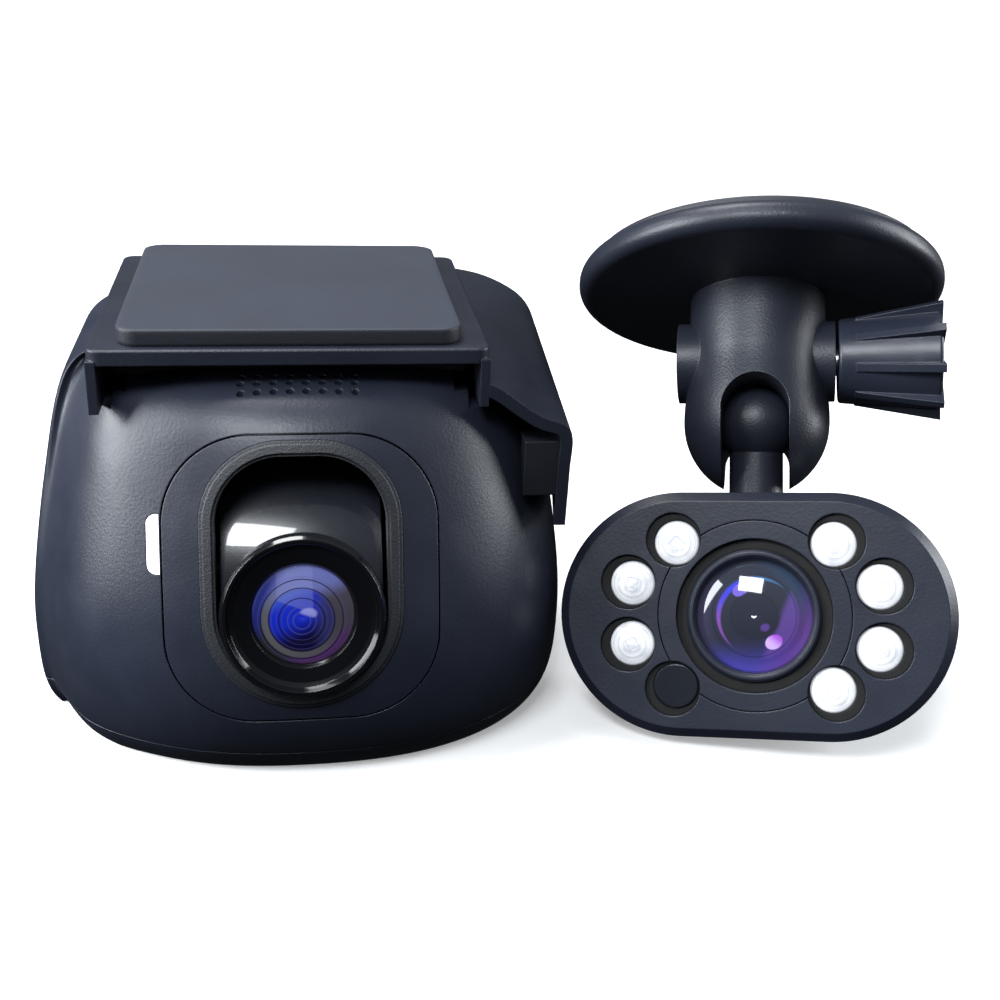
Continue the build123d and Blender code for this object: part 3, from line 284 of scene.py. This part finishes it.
def main_lens_material():
    """Coated front glass of the driving camera, painted with reflections: blue pupil, grey ring, violet and purple
    flares, a pale window and a glint; it glows by emission.
    """
    g = Graph("coated_lens")
    low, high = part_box("front_glass")
    centre = (low + high) / 2
    radius = (high.x - low.x) / 2
    across, up = lens_places(g, centre, lens_side, lens_up, radius)
    r = distance(g, across, up)
    inner = distance(g, across, up, -0.03, -0.07)
    # All these colours are painted reflections of the coating and of the lens elements inside, lighter and darker
    # towards given sides of the glass.
    colour = g.mix(g.span(r, 0.7, 1.0), (0.024, 0.018, 0.030), (0.018, 0.012, 0.026))
    right = leaning(g, across, up, 10.0, 0.2, 0.8)
    colour = g.mix(right, colour, (0.036, 0.032, 0.044))
    left_low = both(g, leaning(g, across, up, 215.0, 0.4, 0.9), g.span(r, 0.80, 0.88))
    colour = g.mix(left_low, colour, (0.012, 0.014, 0.015))
    upper = leaning(g, across, up, 105.0, 0.15, 0.55)
    colour = g.mix(upper, colour, (0.075, 0.085, 0.240))
    upper_left = both(g, leaning(g, across, up, 160.0, 0.55, 0.9), band(g, r, 0.76, 1.0, 0.05))
    colour = g.mix(upper_left, colour, (0.010, 0.014, 0.110))
    purple = both(g, leaning(g, across, up, -62.0, 0.5, 0.85), band(g, r, 0.76, 0.98, 0.05))
    colour = g.mix(g.math("MULTIPLY", purple, 0.8), colour, (0.055, 0.014, 0.085))
    # ring_lit: the grey ring painted paler towards the lower left, a painted lit side.
    ring_lit = g.math("MULTIPLY", band(g, inner, 0.66, 0.79), leaning(g, across, up, -130.0, -0.55, 0.5))
    colour = g.mix(g.math("MULTIPLY", ring_lit, 0.85), colour, (0.055, 0.058, 0.062))
    pupil = g.span(inner, 0.62, 0.66, 1.0, 0.0)
    deep = leaning(g, across, up, -70.0, -0.05, 0.45)
    blue = g.mix(deep, (0.004, 0.012, 0.250), (0.002, 0.0015, 0.018))
    blue = g.mix(leaning(g, across, up, 0.0, 0.1, 0.5), blue, (0.016, 0.016, 0.070))
    blue = g.mix(leaning(g, across, up, 115.0, 0.25, 0.6), blue, (0.020, 0.045, 0.250))
    colour = g.mix(pupil, colour, blue)
    # window: a painted reflection, a pale window-like patch above the middle.
    window = both(g, leaning(g, across, up, 70.0, 0.12, 0.16),
                  g.span(g.math("ABSOLUTE", g.math("ADD", across, 0.16)), 0.34, 0.37, 1.0, 0.0))
    colour = g.mix(g.math("MULTIPLY", window, 0.22), colour, (0.16, 0.18, 0.34))
    for ring, width, strength in ((0.17, 0.014, 0.5), (0.28, 0.012, 0.5), (0.40, 0.010, 0.3),
                                  (0.50, 0.010, 0.25), (0.60, 0.012, 0.3), (0.86, 0.010, 0.30)):
        circle = band(g, inner, ring - width, ring + width, 0.006)
        colour = g.mix(g.math("MULTIPLY", circle, strength), colour, (0.045, 0.045, 0.160))
    for ring in (0.45, 0.645, 0.81):
        colour = g.mix(band(g, inner, ring - 0.010, ring + 0.010, 0.008), colour, (0.004, 0.004, 0.012))
    # glint: a painted highlight near the middle of the glass.
    glint = g.span(distance(g, across, up, 0.10, 0.07, 1.5, 0.0), 0.09, 0.13, 1.0, 0.0)
    glint = both(g, glint, leaning(g, across, up, 70.0, 0.02, 0.10))
    colour = g.mix(g.math("MULTIPLY", glint, 0.55), colour, (0.24, 0.24, 0.46))
    speckle = g.noise(5200.0, 2.0)
    # The emission makes the glass glow, a painted glow standing in for light reflected inside the lens.
    return g.finish(Base_Color=colour, Roughness=g.span(speckle, 0.3, 0.8, 0.03, 0.06),
                    Coat_Weight=1.0, Coat_Roughness=0.02, Specular_IOR_Level=0.35,
                    Emission_Color=colour, Emission_Strength=0.75)


def cabin_lens_material():
    """Coated front glass of the cabin camera, painted with reflections: a dark pupil inside arcs of teal, blue and
    violet, and bright spots; it glows by emission.
    """
    g = Graph("coated_cabin_lens")
    centre = middle("cabin_front_glass")
    mesh = nodes["cabin_front_glass"].data
    radius = max(abs((v.co - centre).dot(head_side)) for v in mesh.vertices)
    across, up = lens_places(g, centre, head_side, head_up, radius)
    r = distance(g, across, up)
    # All these colours are painted reflections of the coating and of the lens elements inside, lighter and
    # stronger towards given sides of the glass.
    colour = g.mix(g.span(r, 0.2, 1.0), (0.022, 0.024, 0.035), (0.03, 0.034, 0.052))
    lower = both(g, leaning(g, across, up, -80.0, 0.25, 0.95), g.span(r, 0.45, 1.0, 0.2, 1.0))
    colour = g.mix(g.math("MULTIPLY", lower, 0.9), colour, (0.07, 0.06, 0.42))
    right = both(g, leaning(g, across, up, -28.0, 0.3, 0.95), g.span(r, 0.5, 0.98, 0.15, 1.0))
    colour = g.mix(g.math("MULTIPLY", right, 0.8), colour, (0.13, 0.045, 0.28))
    block = both(g, leaning(g, across, up, -22.0, 0.35, 0.5), band(g, r, 0.45, 0.76, 0.03))
    colour = g.mix(g.math("MULTIPLY", block, 0.55), colour, (0.14, 0.07, 0.36))
    teal = both(g, leaning(g, across, up, 38.0, 0.5, 1.0), band(g, r, 0.72, 0.97, 0.08))
    colour = g.mix(g.math("MULTIPLY", teal, 0.5), colour, (0.03, 0.07, 0.14))
    left = both(g, leaning(g, across, up, 178.0, 0.5, 1.0), band(g, r, 0.75, 1.0, 0.1))
    colour = g.mix(g.math("MULTIPLY", left, 0.6), colour, (0.06, 0.05, 0.11))
    pupil = g.span(distance(g, across, up, 0.0, 0.02), 0.385, 0.40, 1.0, 0.0)
    colour = g.mix(pupil, colour, (0.021, 0.023, 0.036))
    thin = distance(g, across, up, 0.03, 0.0)
    thick = distance(g, across, up, 0.10, -0.06)
    crescent = both(g, g.span(thin, 0.66, 0.69, 1.0, 0.0), g.span(thick, 0.66, 0.69))
    arc = both(g, crescent, leaning(g, across, up, 140.0, -0.35, 0.1))
    arc_colour = g.mix(leaning(g, across, up, 90.0, -0.2, 0.45), (0.19, 0.07, 0.33), (0.04, 0.05, 0.50))
    arc_colour = g.mix(leaning(g, across, up, 45.0, 0.2, 0.6), arc_colour, (0.05, 0.14, 0.30))
    colour = g.mix(g.math("MULTIPLY", arc, 0.95), colour, arc_colour)
    # The spots are painted highlights, bright reflections of lights on the glass.
    spot = g.span(distance(g, across, up, -0.24, 0.44, 1.35, 32.0), 0.095, 0.11, 1.0, 0.0)
    colour = g.mix(spot, colour, (0.14, 0.10, 0.46))
    spot = g.span(distance(g, across, up, 0.34, -0.45, 1.25, 30.0), 0.115, 0.13, 1.0, 0.0)
    pink = g.mix(leaning(g, across, up, -125.0, 0.05, 0.25), (0.36, 0.09, 0.62), (0.62, 0.42, 0.86))
    colour = g.mix(spot, colour, pink)
    spot = g.span(distance(g, across, up, 0.19, -0.20, 1.2, 20.0), 0.05, 0.08, 0.8, 0.0)
    colour = g.mix(spot, colour, (0.10, 0.05, 0.24))
    for ring in (0.40, 0.72, 0.985):
        colour = g.mix(g.math("MULTIPLY", band(g, r, ring - 0.008, ring + 0.008, 0.008), 0.6), colour,
                       (0.012, 0.012, 0.03))
    speckle = g.noise(5200.0, 2.0)
    # The emission makes the glass glow, a painted glow.
    return g.finish(Base_Color=colour, Roughness=g.span(speckle, 0.3, 0.8, 0.04, 0.08),
                    Coat_Weight=0.8, Coat_Roughness=0.03, Specular_IOR_Level=0.3,
                    Emission_Color=colour, Emission_Strength=0.3)


# The lamps' outer radius, that of the CAD lamps that the domes stand for.
LAMP_RADIUS = 0.00295


def lamp_material():
    """Clear lamp dome in its own coordinates: grey rim, moulded rings and the chip behind them, with painted
    highlight streaks and a painted glow by emission.
    """
    g = Graph("lamp_dome")
    spread = g.node("ShaderNodeSeparateXYZ")
    g.feed(spread.inputs[0], g.place)
    across = g.math("DIVIDE", spread.outputs[0], LAMP_RADIUS)
    high = g.math("DIVIDE", spread.outputs[1], LAMP_RADIUS)
    r = distance(g, across, high)
    facets = g.cells(620.0, "F1")
    cloud = g.noise(340.0, 2.0)
    base = g.mix(g.span(cloud, 0.35, 0.65), (0.66, 0.68, 0.72), (0.88, 0.89, 0.91))
    # Paler streaks towards the middle: painted highlights.
    highlight_streak = both(g, g.span(g.noise(520.0, 3.0, 0.7), 0.50, 0.60), g.span(r, 0.9, 0.2, 0.0, 0.8))
    base = g.mix(highlight_streak, base, (0.95, 0.95, 0.97))
    for ring, width, strength in ((0.36, 0.03, 0.35), (0.62, 0.03, 0.45), (0.82, 0.025, 0.5)):
        circle = band(g, r, ring - width, ring + width, 0.02)
        base = g.mix(g.math("MULTIPLY", circle, strength), base, (0.38, 0.40, 0.46))
    square = g.math("MAXIMUM", g.math("ABSOLUTE", across), g.math("ABSOLUTE", high))
    chip = band(g, square, 0.20, 0.25, 0.02)
    base = g.mix(g.math("MULTIPLY", chip, 0.55), base, (0.30, 0.32, 0.38))
    base = g.mix(g.span(r, 0.90, 1.0, 0.0, 0.75), base, (0.20, 0.22, 0.27))
    # The emission is a painted glow: the infrared lamps give no visible white light, so it stands in for light
    # caught in the clear domes.
    return g.finish(Base_Color=base, Roughness=g.span(cloud, 0.3, 0.7, 0.10, 0.2),
                    Normal=g.bump(facets, 0.00005, 0.4), Coat_Weight=1.0, Coat_Roughness=0.05,
                    Emission_Color=base, Emission_Strength=0.42)


def foam_material():
    """Cut foam: dark, open cells on its sides under a smooth faintly mottled liner on its top."""
    g = Graph("foam_pad")
    normal, near_edge = g.round_edges(0.0002)
    facing = g.node("ShaderNodeNewGeometry").outputs["Normal"]
    upward = g.math("ABSOLUTE", g.vector("DOT_PRODUCT", facing, (0.0, 0.0, 1.0)))
    sides = g.span(upward, 0.5, 0.9, 1.0, 0.0)
    cloud = g.noise(60.0, 4.0)
    grain = g.noise(4200.0, 2.0)
    cells = g.cells(2400.0, "F1")
    base = g.mix(g.span(cloud, 0.3, 0.7), (0.028, 0.032, 0.047), (0.034, 0.039, 0.057))
    base = g.mix(g.math("MULTIPLY", sides, 0.85), base, (0.012, 0.013, 0.018))
    # Paler edges: a painted highlight along the pad's edges.
    base = g.mix(g.math("MULTIPLY", near_edge, 0.35), base, (0.075, 0.082, 0.105))
    height = g.mix(sides, (0.5, 0.5, 0.5), cells)
    height = g.math("ADD", height, g.math("MULTIPLY", grain, 0.12))
    return g.finish(Base_Color=base, Roughness=g.span(grain, 0.3, 0.7, 0.5, 0.62),
                    Normal=g.bump(height, 0.00002, 0.8, normal))


def light_bar_material():
    """A lit light pipe, a touch cooler and dimmer in patches."""
    g = Graph("lit_bar")
    cloud = g.noise(600.0, 2.0)
    glow = g.mix(cloud, (0.94, 0.97, 1.0), (1.0, 1.0, 1.0))
    return g.finish(Base_Color=glow, Roughness=g.span(cloud, 0.3, 0.7, 0.25, 0.35),
                    Emission_Color=glow, Emission_Strength=1.6)


def screen_material():
    """A black screen window with a faint smear of cleaning marks and the dark panel behind it."""
    g = Graph("screen_face")
    smear = g.noise(120.0, 5.0, 0.65)
    base = g.mix(g.span(smear, 0.35, 0.75), (0.006, 0.007, 0.010), (0.012, 0.014, 0.019))
    return g.finish(Base_Color=base, Roughness=g.span(smear, 0.3, 0.8, 0.05, 0.14),
                    Coat_Weight=1.0, Coat_Roughness=0.03)


NAVY = (0.0165, 0.0198, 0.0335)
finishes = {
    "housing": moulded("housing_plastic", NAVY, 0.38, grain=0.00034, depth=0.000013),
    "bracket": moulded("bracket_plastic", (0.0150, 0.0178, 0.0290), 0.42, grain=0.00028, depth=0.000022),
    "rail": moulded("rail_plastic", (0.014, 0.016, 0.024), 0.55, grain=0.00035, depth=0.00005, worn=0.2),
    "pad": foam_material(),
    "collar": moulded("collar_plastic", (0.020, 0.022, 0.027), 0.5, grain=0.00022, depth=0.00004, worn=0.5),
    "drum": polished("drum_gloss", (0.0105, 0.0120, 0.0180), 0.24, coat=0.8),
    "lens_ring": polished("ring_gloss", (0.0022, 0.0022, 0.0032), 0.12),
    "lens_glass": main_lens_material(),
    "optic_black": moulded("optic_black", (0.0025, 0.0025, 0.003), 0.6, grain=0.0002, depth=0.000004,
                           worn=0.1),
    "status_light": light_bar_material(),
    "lamp_lens": lamp_material(),
    "sensor_window": polished("sensor_window", (0.010, 0.012, 0.018), 0.2),
    "circuit_board": circuit("circuit_green", (0.008, 0.05, 0.02)),
    "chip": moulded("chip_epoxy", (0.012, 0.012, 0.014), 0.5, grain=0.00012, depth=0.000006),
    "steel": metal("plated_steel", (0.55, 0.55, 0.57), 0.3),
    "aluminium": metal("rolled_aluminium", (0.72, 0.73, 0.75), 0.35),
    "brass": metal("turned_brass", (0.68, 0.5, 0.2), 0.3),
    "seal_rubber": soft_black("seal_rubber", (0.0012, 0.0012, 0.0016), 0.7),
    "screen_glass": screen_material(),
    "button": moulded("button_plastic", (0.024, 0.027, 0.040), 0.4, grain=0.0002, depth=0.000008),
    "knob": moulded("knob_plastic", (0.021, 0.025, 0.041), 0.34, grain=0.00035, depth=0.000008, worn=0.5),
    "contact": moulded("contact_carrier", (0.016, 0.018, 0.025), 0.4, grain=0.0002, depth=0.000008,
                       worn=0.6),
    "capacitor": moulded("capacitor_sleeve", (0.012, 0.016, 0.06), 0.3, grain=0.0004, depth=0.000005),
}
slot_of = {part["node"]: part["material_slot"] for part in record["subparts"]}
own_looks = {
    "cabin_front_glass": cabin_lens_material(),
    "speaker_mesh": finishes["optic_black"],
}
for node_name, thing in nodes.items():
    thing.data.materials.clear()
    thing.data.materials.append(own_looks.get(node_name, finishes[slot_of[node_name]]))


# ---------------------------------------------------------------- pieces built here

def add_piece(name, corners, faces, place, body, slot_name):
    """A mesh piece in its own coordinates, standing at place and moving with a body."""
    mesh = bpy.data.meshes.new(name)
    mesh.from_pydata([tuple(corner) for corner in corners], [], faces)
    mesh.validate()
    for face in mesh.polygons:
        face.use_smooth = True
    mesh.materials.append(finishes[slot_name])
    piece = bpy.data.objects.new(name, mesh)
    scene.collection.objects.link(piece)
    piece.matrix_world = place
    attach(piece, body)
    return piece


def rings_mesh(rings):
    """Closed skin over a stack of rings of equal length, capped at both ends."""
    count = len(rings[0])
    corners = [corner for ring in rings for corner in ring]
    faces = []
    for level in range(len(rings) - 1):
        for step in range(count):
            following = (step + 1) % count
            low = level * count
            high = low + count
            faces.append((low + step, low + following, high + following, high + step))
    faces.append(tuple(reversed(range(count))))
    top_start = (len(rings) - 1) * count
    faces.append(tuple(range(top_start, top_start + count)))
    return corners, faces


def turned_rings(profile, count):
    """Rings of a lathe shape from (radius, height) points."""
    rings = []
    for radius, height in profile:
        ring = []
        for step in range(count):
            angle = 2 * math.pi * step / count
            ring.append((radius * math.cos(angle), radius * math.sin(angle), height))
        rings.append(ring)
    return rings


def standing(position, out, side, turn=0.0):
    """A placement with +Z along out and +X near side, turned about out."""
    ahead = out.normalized()
    level_x = (side - ahead * side.dot(ahead)).normalized()
    level_y = ahead.cross(level_x)
    place = Matrix((level_x, level_y, ahead)).transposed().to_4x4()
    place.translation = position
    return place @ Matrix.Rotation(turn, 4, "Z")


def extent(node, direction):
    """Lowest and highest reach of a node along a direction."""
    reaches = [vertex.co.dot(direction) for vertex in nodes[node].data.vertices]
    return min(reaches), max(reaches)


# Seven lamp domes with moulded steps, each with its own coordinates. The lamps stand at two
# distances either side of the head's middle and above and below it, a little towards the lens
# from their holes' centres. The eighth place holds the light sensor.
LAMP_SPOTS = ((0.0104, 0.0097), (0.0163, 0.0041))
LAMP_SHIFT = 0.00055
SENSOR_PLACE = (LAMP_SPOTS[0], -1, -1)
LAMP_TURN = math.radians(52.0)
DOME_REACH = 0.00262
DOME_HEIGHT = 0.00058
DOME_STEPS = 14
RIPPLE_DEPTH = 0.000035
RIPPLE_HALF_WAVES = 6.5
lamp_profile = [(0.00290, -0.0046), (0.00290, -0.0009), (0.00284, -0.00072), (0.00268, -0.00060)]
for step in range(DOME_STEPS):
    share = 1.0 - step / DOME_STEPS
    ripple = RIPPLE_DEPTH * math.sin(share * RIPPLE_HALF_WAVES * math.pi)
    lamp_profile.append((DOME_REACH * share, -DOME_HEIGHT * share ** 2 + ripple))
lamp_profile.append((0.00004, 0.0))
side_span = extent("lamp_sleeves", head_side)
up_span = extent("lamp_sleeves", head_up)
lamp_front = extent("infrared_lamps", head_out)[1]
face_middle = head_side * sum(side_span) / 2 + head_up * sum(up_span) / 2 + head_out * lamp_front
lamp_corners, lamp_faces = rings_mesh(turned_rings(lamp_profile, 48))
lamp_places = [(spot, sign_side, sign_up)
               for spot in LAMP_SPOTS for sign_side in (-1, 1) for sign_up in (-1, 1)]
lamp_places.remove(SENSOR_PLACE)
lamp_pieces = []
for number, (spot, sign_side, sign_up) in enumerate(lamp_places, start=1):
    reach = math.hypot(*spot)
    inward = (reach - LAMP_SHIFT) / reach
    dome_place = (face_middle + head_side * sign_side * spot[0] * inward
                  + head_up * sign_up * spot[1] * inward)
    lamp_pieces.append(add_piece("lamp_dome_%d" % number, lamp_corners, lamp_faces,
                                 standing(dome_place, head_out, head_side, LAMP_TURN * number),
                                 "cabin_head", "lamp_lens"))
for lamp_piece in lamp_pieces:
    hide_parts("infrared_lamps")


def squared_ring(half, corner, height):
    """A rounded square at one height."""
    ring = []
    quarter = 12
    for turn in range(4):
        for step in range(quarter + 1):
            angle = math.radians(90.0 * turn + 90.0 * step / quarter)
            sign_x = 1 if turn in (0, 3) else -1
            sign_y = 1 if turn in (0, 1) else -1
            ring.append((sign_x * (half - corner) + corner * math.cos(angle),
                         sign_y * (half - corner) + corner * math.sin(angle), height))
    return ring


# The two adhesive pads: soft foam, bulging a hair at the sides, under a liner that sinks a
# hair in the middle. Each side entry is a share of the pad's depth and the inset there, and
# each liner entry an inset and its sag.
PAD_CORNER = 0.0026
PAD_SIDES = ((0.0, 0.00006), (0.2, 0.00002), (0.5, 0.0), (0.8, 0.00001), (0.93, 0.00003),
             (0.985, 0.00010), (1.0, 0.00022))
PAD_LINER = ((0.0009, 0.00001), (0.0015, 0.00002))


def pad_outline(half, depth):
    """(half width, height) of a pad's rings, from its foot up to its liner."""
    rings = [(half - inset, depth * (share - 1.0)) for share, inset in PAD_SIDES]
    return rings + [(half - inset, -sag) for inset, sag in PAD_LINER]


pad_low, pad_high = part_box("adhesive_pad")
pad_half = (pad_high.x - pad_low.x) / 2
pad_depth = pad_high.z - pad_low.z
pad_rings = [squared_ring(half, PAD_CORNER, height) for half, height in pad_outline(pad_half, pad_depth)]
pad_corners, pad_faces = rings_mesh(pad_rings)
pad_middle = Vector(((pad_low.x + pad_high.x) / 2, (pad_low.y + pad_high.y) / 2, pad_high.z))
windscreen_foam = add_piece("windscreen_foam_pad", pad_corners, pad_faces,
                            standing(pad_middle, Vector((0, 0, 1)), Vector((1, 0, 0))),
                            "windscreen_bracket", "pad")
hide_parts("adhesive_pad")

disc_pad_span = extent("cabin_adhesive_pad", head_side)
disc_pad_radius = (disc_pad_span[1] - disc_pad_span[0]) / 2
disc_pad_reach = extent("cabin_adhesive_pad", disc_out)
disc_pad_depth = disc_pad_reach[1] - disc_pad_reach[0]
disc_rings = turned_rings(pad_outline(disc_pad_radius, disc_pad_depth), 96)
disc_corners, disc_faces = rings_mesh(disc_rings)
disc_foam = add_piece("disc_foam_pad", disc_corners, disc_faces,
                      standing(disc_middle, disc_out, head_side), "cabin_mount", "pad")
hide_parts("cabin_adhesive_pad")


# ---------------------------------------------------------------- floor, light and camera

FLOOR_HALF = 6.0
FLOOR_DROP = 0.0002
floor_mesh = bpy.data.meshes.new("floor")
floor_corners = [(FLOOR_HALF * x, FLOOR_HALF * y, 0) for x, y in ((-1, -1), (1, -1), (1, 1), (-1, 1))]
floor_mesh.from_pydata(floor_corners, [], [(0, 1, 2, 3)])
floor = bpy.data.objects.new("floor", floor_mesh)
scene.collection.objects.link(floor)
paper = Graph("floor_paper")
fibre = paper.noise(900.0, 3.0)
floor_mesh.materials.append(paper.finish(
    Base_Color=paper.mix(fibre, (0.90, 0.90, 0.90), (0.93, 0.93, 0.93)), Roughness=0.9,
    Specular_IOR_Level=0.0,
    Emission_Color=(1.0, 1.0, 1.0), Emission_Strength=0.30))
floor.location.z = -FLOOR_DROP
# The pale floor is kept out of the object's reflections, which stay as dark as in a studio.
floor.visible_glossy = False
floor.visible_diffuse = False

scene.view_settings.view_transform = "Standard"
# A dim, cool surround, brighter overhead than at the horizon.
world = bpy.data.worlds.new("studio")
world.use_nodes = True
scene.world = world
sky = world.node_tree
sky_way = sky.nodes.new("ShaderNodeTexCoord")
sky_parts = sky.nodes.new("ShaderNodeSeparateXYZ")
sky_ramp = sky.nodes.new("ShaderNodeMapRange")
sky.links.new(sky_way.outputs["Generated"], sky_parts.inputs[0])
sky.links.new(sky_parts.outputs["Z"], sky_ramp.inputs["Value"])
SKY_SPAN = (("From Min", -0.05), ("From Max", 0.7), ("To Min", 0.02), ("To Max", 0.26))
for socket_name, number in SKY_SPAN:
    sky_ramp.inputs[socket_name].default_value = number
sky.nodes["Background"].inputs["Color"].default_value = (0.84, 0.92, 1.0, 1.0)
sky.links.new(sky_ramp.outputs[0], sky.nodes["Background"].inputs["Strength"])

LIGHT_TINT = (0.92, 0.96, 1.0)


def sun(name, towards, strength, spread):
    """A far light shining along a direction, spread in degrees."""
    data = bpy.data.lights.new(name, "SUN")
    data.energy = strength
    data.angle = math.radians(spread)
    lamp = bpy.data.objects.new(name, data)
    scene.collection.objects.link(lamp)
    lamp.rotation_euler = Vector(towards).to_track_quat("-Z", "Y").to_euler()


def softbox(name, place, aim, width, height, power):
    """A rectangular light at a place, facing an aim point."""
    data = bpy.data.lights.new(name, "AREA")
    data.color = LIGHT_TINT
    data.shape = "RECTANGLE"
    data.size = width
    data.size_y = height
    data.energy = power
    lamp = bpy.data.objects.new(name, data)
    scene.collection.objects.link(lamp)
    lamp.location = place
    lamp.rotation_euler = (Vector(aim) - Vector(place)).to_track_quat("-Z", "Y").to_euler()


sun("top_light", (0.22, -0.30, -1.0), 2.3, 26.0)
softbox("left_box", (-0.38, -0.06, 0.20), (-0.02, -0.01, 0.03), 0.24, 0.30, 3.6)
softbox("right_box", (0.36, -0.02, 0.13), (0.06, 0.0, 0.05), 0.10, 0.20, 0.9)
softbox("front_box", (-0.10, -0.24, 0.34), (0.0, -0.02, 0.03), 0.16, 0.10, 1.15)

# The camera stands where the photograph was taken from, solved from the pad and the plate.
CAMERA_PLACE = Vector((-0.00042, -0.16596, 0.10154))
CAMERA_YAW = math.radians(9.34)
CAMERA_PITCH = math.radians(24.53)
CAMERA_ROLL = math.radians(2.6)
CAMERA_LENS = 47.99
look_along = Vector((math.sin(CAMERA_YAW) * math.cos(CAMERA_PITCH),
                     math.cos(CAMERA_YAW) * math.cos(CAMERA_PITCH), -math.sin(CAMERA_PITCH)))
level = Vector((math.cos(CAMERA_YAW), -math.sin(CAMERA_YAW), 0))
above = level.cross(look_along)
right = level * math.cos(CAMERA_ROLL) + above * math.sin(CAMERA_ROLL)
top = above * math.cos(CAMERA_ROLL) - level * math.sin(CAMERA_ROLL)
camera_data = bpy.data.cameras.new("camera")
camera_data.sensor_width = 36.0
camera_data.lens = CAMERA_LENS
camera_data.clip_start = 0.01
camera_data.clip_end = 50.0
camera = bpy.data.objects.new("camera", camera_data)
scene.collection.objects.link(camera)
camera.matrix_world = Matrix((right, top, -look_along)).transposed().to_4x4()
camera.matrix_world.translation = CAMERA_PLACE
scene.camera = camera

bpy.context.view_layer.update()
